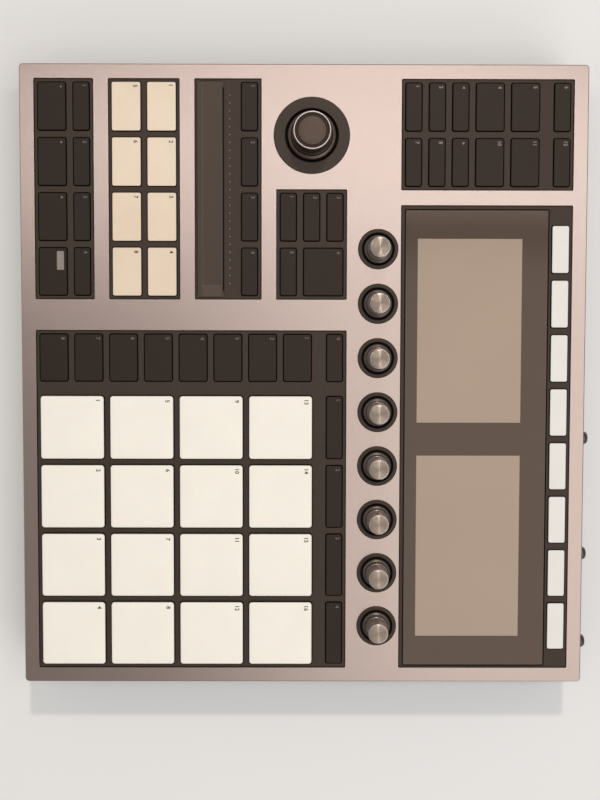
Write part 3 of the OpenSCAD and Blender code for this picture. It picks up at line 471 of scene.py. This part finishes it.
for node, look in [("key_bezel", BEZEL), ("bottom_case", CASE), ("rear_panel", CASE),
                   ("display_modules", MODULE), ("control_board", BOARD), ("main_board", BOARD),
                   ("audio_jacks", SOCKET), ("rear_pots", STEEL), ("data_sockets", NICKEL),
                   ("rubber_feet", RUBBER), ("case_screws", DARK_STEEL), ("encoder_gimbal", STEEL),
                   ("encoder_cradle", STEEL), ("encoder_shaft", STEEL), ("power_switch", SOCKET)]:
    NODES[node].data.materials.clear()
    NODES[node].data.materials.append(look)

# ---------------------------------------------------------------- top panel

ROUND_WITHIN = 0.3 * MM       # an opening is round when its two sides differ by less
PANEL_CORNER, PANEL_EDGE = 2 * MM, 0.45 * MM
HOLE_CORNER, HOLE_WIDER, HOLE_LIP = 0.5 * MM, 0.15 * MM, 0.12 * MM

outer, holes = openings("top_panel")
panel_lo, panel_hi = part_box("top_panel")
bm = bmesh.new()
cuts = []
for hole in holes:
    w, d = spans(*hole)
    cuts.append(round_hole(hole) if abs(w - d) < ROUND_WITHIN else rect_hole(hole, HOLE_CORNER, HOLE_WIDER))
plate(bm, outer, PANEL_CORNER, cuts, panel_lo.z, panel_hi.z, PANEL_EDGE, HOLE_LIP)
piece("top_plate", bm, ALUMINIUM, "case", "top_panel", slot="brushed_panel")

# ---------------------------------------------------------------- pads and keys

FLANGE_LOW, FLANGE_HIGH = 0.5 * MM, 1.5 * MM             # above a key's foot
CROWN_AT, CROWN_SHARE, CROWN_END = 2.5 * MM, 0.7, 5 * MM  # inwards of the rounded edge
PAD_CORNER, PAD_ROUND, PAD_CROWN, PAD_SHOWS = 1.5 * MM, 0.6 * MM, 0.12 * MM, 2.2 * MM
KEY_CORNER, KEY_ROUND, KEY_CROWN, KEY_SHOWS = 0.95 * MM, 0.32 * MM, 0.0, 1.2 * MM


def key_cap(bm, lo, hi, cap_lo, cap_hi, r, round_off, crown):
    """Cap with a rounded edge over the flange that the bezel holds down."""
    flange_z0, flange_z1 = lo.z + FLANGE_LOW, lo.z + FLANGE_HIGH
    lip = cap_lo.x - lo.x
    top = hi.z - crown
    profile = [(-lip, flange_z0), (-lip, flange_z1), (0, flange_z1), (0, top - round_off)]
    profile += fillet(0, top, round_off)[1:]
    profile += [(round_off + CROWN_AT, top + crown * CROWN_SHARE), (round_off + CROWN_END, top + crown)]
    half = min(spans(cap_lo, cap_hi)) / 2
    slab(bm, (cap_lo, cap_hi), r, [p for p in profile if p[0] < half - 0.3 * MM])


for k in range(1, 17):
    node = "pad_%d" % k
    bm = bmesh.new()
    lo, hi, cap_lo, cap_hi = caps(node)[0]
    key_cap(bm, lo, hi, cap_lo, cap_hi, PAD_CORNER, PAD_ROUND, PAD_CROWN)
    # Below PAD_SHOWS a pad's sides are painted shade, for the gap round it in the bezel.
    paint(piece("pad_cap_%d" % k, bm, [PAD, PAINTED_SHADE], node, node, slot="pad_white"), below(hi.z - PAD_SHOWS))
    bm = bmesh.new()
    add_text(bm, str(k), 3.0 * MM, cap_lo.x + 2.0 * MM, cap_hi.y - 3.9 * MM, hi.z - 0.03 * MM)
    piece("pad_number_%d" % k, bm, PRINT_DARK, node, slot="key_dark", smooth=False)

banks = {"group_keys": (WHITE_KEY, "key_white"), "display_keys": (DISPLAY_KEY, "key_white")}
for node in ["play_key", "record_key", "stop_key", "shift_key", "transport_small_keys", "group_keys",
             "strip_keys", "repeat_key", "encoder_keys", "display_keys", "browse_keys", "scene_keys",
             "pad_mode_keys"]:
    look, slot = banks.get(node, (DARK_KEY, "key_dark"))
    bm = bmesh.new()
    for lo, hi, cap_lo, cap_hi in caps(node):
        key_cap(bm, lo, hi, cap_lo, cap_hi, KEY_CORNER, KEY_ROUND, KEY_CROWN)
    bank = piece(node.replace("key", "cap"), bm, [look, PAINTED_SHADE], node, node, slot=slot)
    # Below KEY_SHOWS the keys' sides are painted shade, for the gaps round them in the bezel.
    paint(bank, below(hi.z - KEY_SHOWS))

# ---------------------------------------------------------------- print on the keys

PRINT_SUNK = 0.01 * MM   # how deep the print's foot lies in a key's top
PRINT_LEFT = 1.5 * MM    # from a cap's left edge to its number

browse_lo, browse_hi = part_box("browse_keys")
browse_middle = middle(browse_lo, browse_hi)[0]


def arrow(size, turn=0.0):
    """Triangle that points to the right, or turned from there."""
    return [(size * math.cos(turn + a), size * math.sin(turn + a))
            for a in (0, 2 * math.pi / 3, 4 * math.pi / 3)]


def number_bank(node, numbers, look=PRINT_DIM, size=2.7 * MM, drop=3.1 * MM):
    """Prints a number on each key of a bank, or an arrow where the number is empty."""
    bm = bmesh.new()
    for (lo, hi, cap_lo, cap_hi), words in zip(caps(node), numbers):
        z = hi.z - PRINT_SUNK
        if words:
            add_text(bm, words, size, cap_lo.x + PRINT_LEFT, cap_hi.y - drop, z)
        else:
            turn = math.pi if cap_lo.x < browse_middle else 0.0
            add_shape(bm, arrow(0.85 * MM, turn), cap_lo.x + 2.4 * MM, cap_hi.y - 2.6 * MM, z)
    piece(node.replace("key", "number"), bm, look, node, slot="key_dark", smooth=False)


number_bank("group_keys", list("51627384"), PRINT_DARK, 3.0 * MM, 3.5 * MM)
number_bank("scene_keys", list("876543219"))
number_bank("pad_mode_keys", list("1234"))
number_bank("strip_keys", list("1234"))
number_bank("encoder_keys", list("1235"))
number_bank("repeat_key", ["4"])
number_bank("transport_small_keys", list("1234"))
number_bank("browse_keys", ["1", "2", "", "4", "5", "6", "7", "8", "", "10", "11", "12"], PRINT_PALE)
for node, shape in [("play_key", arrow(0.75 * MM)), ("record_key", circle(0.6 * MM, 24)),
                    ("stop_key", rect(-0.55 * MM, -0.55 * MM, 0.55 * MM, 0.55 * MM))]:
    lo, hi, cap_lo, cap_hi = caps(node)[0]
    bm = bmesh.new()
    add_shape(bm, shape, cap_lo.x + 2.2 * MM, cap_hi.y - 2.2 * MM, hi.z - PRINT_SUNK)
    piece(node.replace("key", "mark"), bm, PRINT_DIM, node, slot="key_dark", smooth=False)
lo, hi, cap_lo, cap_hi = caps("shift_key")[0]
bm = bmesh.new()
add_shape(bm, round_rect(9.6 * MM, 3.6 * MM, 0.5 * MM), cap_lo.x + 6.4 * MM, cap_hi.y - 3.2 * MM,
          hi.z - PRINT_SUNK)
piece("shift_mark", bm, PRINT_PALE, "shift_key", slot="key_dark", smooth=False)

# ---------------------------------------------------------------- glass and displays

WINDOW_INSET_X, WINDOW_INSET_Y = 5.25 * MM, 6.65 * MM  # from a display module to its picture
GLASS_CORNER, GLASS_EDGE, GLASS_RIM = 0.6 * MM, 0.4 * MM, 0.3 * MM
WINDOW_CORNER, WINDOW_GAP = 0.3 * MM, 0.02 * MM

glass_lo, glass_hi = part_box("display_glass")
windows = [flat_box(lo.x + WINDOW_INSET_X, lo.y + WINDOW_INSET_Y,
                    hi.x - WINDOW_INSET_X, hi.y - WINDOW_INSET_Y) for lo, hi in solids("display_modules")]


def at_rim(p):
    """Test for the sloping and upright faces round the glass."""
    c = p.center
    inwards = min(c.x - glass_lo.x, glass_hi.x - c.x, c.y - glass_lo.y, glass_hi.y - c.y)
    return inwards < GLASS_RIM and p.normal.z < 0.99


def in_window(p):
    """Test for the faces of the two pictures."""
    return any(lo.x < p.center.x < hi.x and lo.y < p.center.y < hi.y for lo, hi in windows)


bm = bmesh.new()
plate(bm, (glass_lo, glass_hi), GLASS_CORNER, [rect_hole(w, WINDOW_CORNER) for w in windows],
      glass_lo.z, glass_hi.z, GLASS_EDGE, WINDOW_GAP)
for window in windows:
    slab(bm, window, WINDOW_CORNER,
         [(WINDOW_GAP, glass_lo.z + 0.05 * MM), (WINDOW_GAP, glass_hi.z - 0.04 * MM)], 3)
glass = piece("glass_cover", bm, [GLASS, PICTURE, PAINTED_SHADE], "case", "display_glass", slot="dark_glass")
# The glass's sloped and upright edge is painted shadow, a dark line round it.
paint(glass, at_rim, 2)
paint(glass, in_window, 1)

# ---------------------------------------------------------------- touch strip and its lamps

GROOVE = 0.6 * MM         # width of the dark line behind the strip
GROOVE_DEPTH = 0.15 * MM
GROOVE_INSET = 3 * MM     # from each end of the strip to the line
LINE = 0.22 * MM          # width of the lines printed on the strip
LINE_INSET = 0.4 * MM
PRINT_FOOT = 0.05 * MM    # how deep that print's foot lies in the strip
LAMPS, LAMP_INSET = 25, 7 * MM

strip_lo, strip_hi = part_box("touch_strip")
seam = strip_hi.y - GROOVE
bm = bmesh.new()
loft(bm, [ring(bm, rect(strip_lo.x + i, strip_lo.y + i, strip_hi.x - i, seam - i), z)
          for i, z in [(0, strip_lo.z), *fillet(0, strip_hi.z, 0.12 * MM, 2)]])
piece("touch_plate", bm, STRIP, "case", "touch_strip", slot="touch_surface")
groove_left, groove_right = strip_lo.x + GROOVE_INSET, strip_hi.x - GROOVE_INSET
bm = bmesh.new()
for x0, x1, r, depth in [(groove_left, groove_right, 0.2 * MM, GROOVE_DEPTH),
                         (strip_lo.x, groove_left, 0.05 * MM, 0), (groove_right, strip_hi.x, 0.05 * MM, 0)]:
    slab(bm, flat_box(x0, seam, x1, strip_hi.y), r, [(0, strip_lo.z), (0, strip_hi.z - depth)])
# The groove's floor is painted shade; its two ends keep the strip's own colour.
groove = piece("strip_groove", bm, [PAINTED_SHADE, STRIP], "case", slot="touch_surface", smooth=False)
paint(groove, lambda p: not groove_left <= p.center.x <= groove_right)
line_left, line_right = strip_lo.x + LINE_INSET, strip_hi.x - 6 * MM
line_front, line_rear = strip_lo.y + 2.6 * MM, strip_hi.y - 1.2 * MM
bm = bmesh.new()
for x0, y0, x1, y1 in [(line_left, line_front, line_right, line_front + LINE),
                       (line_right, line_front, line_right + LINE, line_rear)]:
    slab(bm, flat_box(x0, y0, x1, y1), 0.02 * MM,
         [(0, strip_hi.z - PRINT_FOOT), (0, strip_hi.z + 0.01 * MM)])
piece("strip_lines", bm, STRIP_LINE, "case", slot="touch_surface", smooth=False)
bm = bmesh.new()
slab(bm, flat_box(line_right + LINE, line_front, strip_hi.x - LINE_INSET, line_rear), 0.02 * MM,
     [(0, strip_hi.z - PRINT_FOOT), (0, strip_hi.z + 0.008 * MM)])
piece("strip_end_print", bm, STRIP_END, "case", slot="touch_surface", smooth=False)

lamp_y = strip_hi.y + 3.1 * MM
bezel_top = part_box("key_bezel")[1].z
bm = bmesh.new()
for k in range(LAMPS):
    x = strip_lo.x + LAMP_INSET + (strip_hi.x - strip_lo.x - 2 * LAMP_INSET) * k / (LAMPS - 1)
    turned(bm, (x, lamp_y), risen(bezel_top, [(0.34, -0.1), (0.34, 0.03), (0.24, 0.07)]), 16)
piece("strip_lamps", bm, LAMP, "case", slot="display")

# ---------------------------------------------------------------- collars and knobs

BIG_COLLAR = 15 * MM                                # radius that only the large knob's collar exceeds
BIG_WELL, BIG_HOLE = 13.65 * MM, 8 * MM             # inner radii of its collar
WELL, HOLE = 8.35 * MM, 4.8 * MM                    # and of a turn knob's collar
KNOB_BASE, BIG_BASE = 39.3 * MM, 40.2 * MM          # heights where the knobs' skirts start
CAP_EDGE, DISC_EDGE = 4.44 * MM, 7.0 * MM           # radii where their tops' outer rings start

bm = bmesh.new()
for lo, hi in solids("knob_collars"):
    r = (hi.x - lo.x) / 2
    well, hole = (BIG_WELL, BIG_HOLE) if r > BIG_COLLAR else (WELL, HOLE)
    neck = r - 1 * MM
    top, face, ledge = hi.z, panel_hi.z, lo.z + 0.8 * MM
    tube(bm, middle(lo, hi), [
        (hole, lo.z), (neck, lo.z), (neck, face), (r, face), (r, top - 0.35 * MM),
        (r - 0.12 * MM, top - 0.12 * MM), (r - 0.4 * MM, top), (well + 0.25 * MM, top),
        (well, top - 0.25 * MM), (well, ledge), (hole, ledge)])
collars = piece("collar_rings", bm, [COLLAR, PAINTED_SHADE], "case", "knob_collars", slot="collar_black")
# The collar's wall below the panel is painted shade, for the deep gap round the knob.
paint(collars, below(panel_hi.z - 0.5 * MM))

# Profiles in millimetres, as (radius, rise): above the knob's base for SKIRT and BIG_SIDE, above its top
# for the others.
SKIRT = [(3, 0), (7.25, 0), (7.25, 2.1), (7.15, 2.4), (6.95, 2.6), (6.1, 2.95), (6.0, 2.85), (5.9, 2.5),
         (5.84, 2.9), (5.7, 4.4), (5.5, 6.45), (5.35, 6.5), (5.35, 6.8), (5.46, 6.9)]
KNOB_HEAD = [(5.1, -1.2), (4.95, -0.75), (4.5, -0.7)]
CAP = [(4.75, -0.9), (4.75, -0.38), (4.71, -0.19), (4.6, -0.06), (4.43, 0), (3.0, -0.01), (1.0, -0.02),
       (0.2, -0.02)]
BIG_SIDE = [(5, 0), (12.0, 0), (12.3, 0.3), (12.3, 2.2), (12.15, 2.6), (11.8, 2.85), (10.95, 3.15),
            (10.8, 3.05), (10.65, 2.6), (10.6, 3.2), (10.45, 5.4), (10.2, 8), (9.9, 11), (9.7, 13.5),
            (9.6, 15.6)]
BIG_HEAD = [(9.55, -0.6), (9.25, -0.55), (9.15, -3.0), (3.05, -3.0)]
BIG_RING = [(8.45, -1.2), (9.38, -1.2), (9.45, -0.3), (9.33, -0.06), (9.13, 0), (8.9, -0.05),
            (8.76, -0.3), (8.45, -1.0)]
DISC = [(9.0, -2.9), (9.0, -1.25), (8.5, -1.4), (7.3, -1.4), (7.1, -1.0), (6.8, -0.85), (4, -0.88),
        (0.3, -0.88)]

for k in range(1, 9):
    node = "knob_%d" % k
    lo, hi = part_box(node)
    at = middle(lo, hi)
    bm = bmesh.new()
    turned(bm, at, [(3 * MM, lo.z)] + risen(KNOB_BASE, SKIRT) + risen(hi.z, KNOB_HEAD))
    # The turned body takes the lighter copy of the caps' metal: painted light.
    body = piece("knob_body_%d" % k, bm, [KNOB_BODY_PAINTED_LIGHT, KNOB_SKIRT_PAINTED_SHADE], node, node, slot="knob_metal")
    # The skirt below the shoulder takes the darker copy: painted shade.
    paint(body, below(KNOB_BASE + 2.95 * MM))
    bm = bmesh.new()
    turned(bm, at, risen(hi.z, CAP))
    cap = piece("knob_cap_%d" % k, bm, [KNOB_CAP, KNOB_EDGE], node, slot="knob_metal")
    paint(cap, beyond(CAP_EDGE, at))

lo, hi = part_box("encoder_knob")
at = middle(lo, hi)
bm = bmesh.new()
tube(bm, at, [(3.05 * MM, lo.z), (5 * MM, lo.z)] + risen(BIG_BASE, BIG_SIDE) + risen(hi.z, BIG_HEAD), 128)
body = piece("big_knob_body", bm, [KNOB_DARK, BIG_SKIRT], "encoder_knob", "encoder_knob", slot="knob_black")
paint(body, below(BIG_BASE + 3.2 * MM))
bm = bmesh.new()
tube(bm, at, risen(hi.z, BIG_RING), 128)
piece("big_knob_ring", bm, KNOB_RIM, "encoder_knob", slot="knob_metal")
bm = bmesh.new()
turned(bm, at, risen(hi.z, DISC), 128)
disc = piece("big_knob_disc", bm, [BIG_TOP, DARK_KEY], "encoder_knob", slot="knob_black")
paint(disc, beyond(DISC_EDGE, at))

# ---------------------------------------------------------------- rear knobs

rear_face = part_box("rear_panel")[1].y


def stand(bm, first, x, z):
    """Turns the corners from the given number on so that their Z runs to the rear, at x and z."""
    bm.verts.ensure_lookup_table()
    matrix = Matrix(((1, 0, 0, x), (0, 0, 1, 0), (0, -1, 0, z), (0, 0, 0, 1)))
    bmesh.ops.transform(bm, matrix=matrix, verts=bm.verts[first:])


def rear_turned(bm, x, z, profile, n=48, ribs=None):
    """Solid of revolution about a line to the rear; profile is a list of (radius, y)."""
    first = len(bm.verts)
    loft(bm, lathe(bm, (0, 0), profile, n, ribs))
    stand(bm, first, x, z)


def rear_tube(bm, x, z, r0, r1, y0, y1, n=48):
    """Tube about a line to the rear, from radius r0 to r1 and from y0 to y1."""
    first = len(bm.verts)
    tube(bm, (0, 0), [(r1, y0), (r1, y1), (r0, y1), (r0, y0)], n)
    stand(bm, first, x, z)


for node in ["mic_gain_knob", "main_volume_knob", "phones_knob"]:
    lo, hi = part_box(node)
    x, z = rear_middle(lo, hi)
    bm = bmesh.new()
    profile = [(2 * MM, lo.y)]
    profile += risen(rear_face + 2.35 * MM, [(2, 0), (4, 0), (4, 1.6), (3.85, 1.95), (3.65, 2.1)])
    profile += risen(hi.y, [(3.55, -2.4), (3.35, -1.3), (2.8, -0.45), (1.9, -0.08), (0.3, 0)])
    rear_turned(bm, x, z, profile, 96, (24, 0.2 * MM, 5, 6))
    piece(node.replace("knob", "cap"), bm, KNOB_DARK, node, node, slot="knob_black")

# ---------------------------------------------------------------- rear sockets

DIN_PINS, DIN_RADIUS = 5, 4.4 * MM
USB_BACK, USB_MOUTH, USB_TONGUE = 11.9 * MM, 6 * MM, 0.9 * MM  # in front of the sockets' rear end
FRAME_GROWS, FRAME_WALL = 0.06 * MM, 2.24 * MM


def block(bm, x0, y0, z0, x1, y1, z1):
    """Box between two corners."""
    loft(bm, [ring(bm, rect(x0, y0, x1, y1), z) for z in (z0, z1)])


def across(bm, x, z, half, low, high, y0, y1):
    """Box from y0 to y1; half its width and its rises above z are in millimetres."""
    block(bm, x - half * MM, y0, z + low * MM, x + half * MM, y1, z + high * MM)


frame_box, inlet, usb_b, usb_a, *dins = solids("data_sockets")
# holes gathers near-black blocks set into the sockets' openings and pin holes: painted shade.
dark, pale, holes = bmesh.new(), bmesh.new(), bmesh.new()
for lo, hi in dins:
    x, z, face = (lo.x + hi.x) / 2, lo.z + 8.4 * MM, hi.y - 1.4 * MM
    rear_turned(dark, x, z, [(6.68 * MM, hi.y - 8.8 * MM), (6.68 * MM, face), (6.4 * MM, face + 0.2 * MM)])
    across(dark, x, z, 0.9, -6.6, -5.6, face, hi.y - 0.3 * MM)
    for k in range(DIN_PINS):
        a = math.pi * k / (DIN_PINS - 1)
        pin_x, pin_z = x + DIN_RADIUS * math.cos(a), z + DIN_RADIUS * math.sin(a)
        rear_tube(pale, pin_x, pin_z, 0.75 * MM, 1.05 * MM, face, face + 0.26 * MM, 24)
        rear_turned(holes, pin_x, pin_z, [(0.74 * MM, face), (0.74 * MM, face + 0.22 * MM)], 24)
# Each USB socket: its rows' heights, half the width and height of its hole, and its tongue.
for (lo, hi), rows, half_w, half_h, tongue in [(usb_a, (-3.8, 3.8), 6.2, 2.5, (5.4, 0.3, 2.1)),
                                               (usb_b, (0,), 4.15, 3.85, (2.8, -1.6, 1.6))]:
    x, z = rear_middle(lo, hi)
    for row in rows:
        across(holes, x, z + row * MM, half_w, -half_h, half_h, hi.y - USB_BACK, hi.y - USB_MOUTH)
        across(dark, x, z + row * MM, *tongue, hi.y - USB_MOUTH, hi.y - USB_TONGUE)
lo, hi = inlet
x, z = (lo.x + hi.x) / 2, lo.z + 5.5 * MM
rear_tube(dark, x, z, 2.8 * MM, 3.12 * MM, hi.y - 9.4 * MM, hi.y - 0.02 * MM)
rear_tube(dark, x, z, 2.9 * MM, 4.22 * MM, hi.y - 0.9 * MM, hi.y + 0.08 * MM)
rear_turned(pale, x, z, risen(hi.y, [(1, -9.4), (1, -1.6), (0.6, -1.2)]), 24)
lo, hi = frame_box
x0, x1 = lo.x - FRAME_GROWS, hi.x + FRAME_GROWS
y0, y1 = rear_face + 0.02 * MM, hi.y + FRAME_GROWS
z0, z1 = lo.z - FRAME_GROWS, hi.z + FRAME_GROWS
block(dark, x0, y0, z0, x1, y1, z0 + FRAME_WALL)
block(dark, x0, y0, z1 - FRAME_WALL, x1, y1, z1)
block(dark, x0, y0, z0 + FRAME_WALL, x0 + FRAME_WALL, y1, z1 - FRAME_WALL)
block(dark, x1 - FRAME_WALL, y0, z0 + FRAME_WALL, x1, y1, z1 - FRAME_WALL)
jack_z = (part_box("phones_knob")[0].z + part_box("phones_knob")[1].z) / 2
for lo, hi in solids("audio_jacks"):
    rear_tube(pale, (lo.x + hi.x) / 2, jack_z, 3.0 * MM, 3.22 * MM, hi.y - 12 * MM, hi.y - 1.2 * MM)
piece("socket_inserts", dark, SOCKET, "case", slot="socket_black", smooth=False)
piece("socket_contacts", pale, NICKEL, "case", slot="plated_steel")
# The socket holes are painted shade.
piece("socket_holes", holes, PAINTED_SHADE, "case", slot="socket_black", smooth=False)

# ---------------------------------------------------------------- floor, light, camera

FLOOR_HALF = 2.5
SKY_COLOUR, SKY_STRENGTH = (1.0, 0.93, 0.89, 1), 0.38
CAMERA_X, CAMERA_Y, CAMERA_Z = -0.02378, -0.00425, 0.66227  # y from the panel's middle
CAMERA_TURN = (-3.28137, -0.21158, 90.11220)                # degrees

bm = bmesh.new()
bmesh.ops.create_grid(bm, x_segments=2, y_segments=2, size=FLOOR_HALF)
floor_mesh = bpy.data.meshes.new("floor")
bm.to_mesh(floor_mesh)
bm.free()
floor = bpy.data.objects.new("floor", floor_mesh)
bpy.context.scene.collection.objects.link(floor)
floor.data.materials.append(material("floor_paint", (0.80, 0.79, 0.78), 0.85, spread=0.01, scale=3.0))

world = bpy.data.worlds.new("studio")
bpy.context.scene.world = world
world.use_nodes = True
sky = world.node_tree.nodes["Background"].inputs
sky["Color"].default_value = SKY_COLOUR
sky["Strength"].default_value = SKY_STRENGTH


def lamp(name, place, target, size, power, colour):
    """Area light that faces its target, or straight down."""
    light = bpy.data.lights.new(name, "AREA")
    light.shape = "RECTANGLE"
    light.size, light.size_y = size
    light.energy = power
    light.color = colour
    obj = bpy.data.objects.new(name, light)
    obj.location = place
    if target:
        obj.rotation_euler = (Vector(target) - Vector(place)).to_track_quat("-Z", "Y").to_euler()
    bpy.context.scene.collection.objects.link(obj)


lamp("ceiling_left", (-0.413, 0.255, 1.94), None, (0.256, 1.93), 7.0, (0.985, 0.995, 1.0))
lamp("bulb_left", (-1.15, 0.14, 1.75), (0, 0, 0.04), (0.10, 0.10), 11.0, (1.0, 0.95, 0.88))
lamp("ceiling_rear", (0.391, 0.607, 1.94), None, (1.18, 1.34), 9.2, (0.98, 0.99, 0.97))
lamp("window_right", (1.25, 0.75, 1.2), (0, 0, 0.04), (1.4, 0.9), 6.0, (0.86, 0.94, 1.0))
lamp("window_front", (-0.3, -1.8, 1.2), (0, 0, 0.04), (2.2, 1.0), 2.5, (0.90, 0.95, 1.0))

camera = bpy.data.cameras.new("camera")
camera.lens = 54.0
camera.sensor_width = 36.0
camera.clip_start = 0.01
view = bpy.data.objects.new("camera", camera)
view.location = (CAMERA_X, (panel_lo.y + panel_hi.y) / 2 + CAMERA_Y, CAMERA_Z)
view.rotation_euler = Euler([math.radians(a) for a in CAMERA_TURN], "XYZ")
bpy.context.scene.collection.objects.link(view)
bpy.context.scene.camera = view
bpy.context.scene.view_settings.view_transform = "Standard"
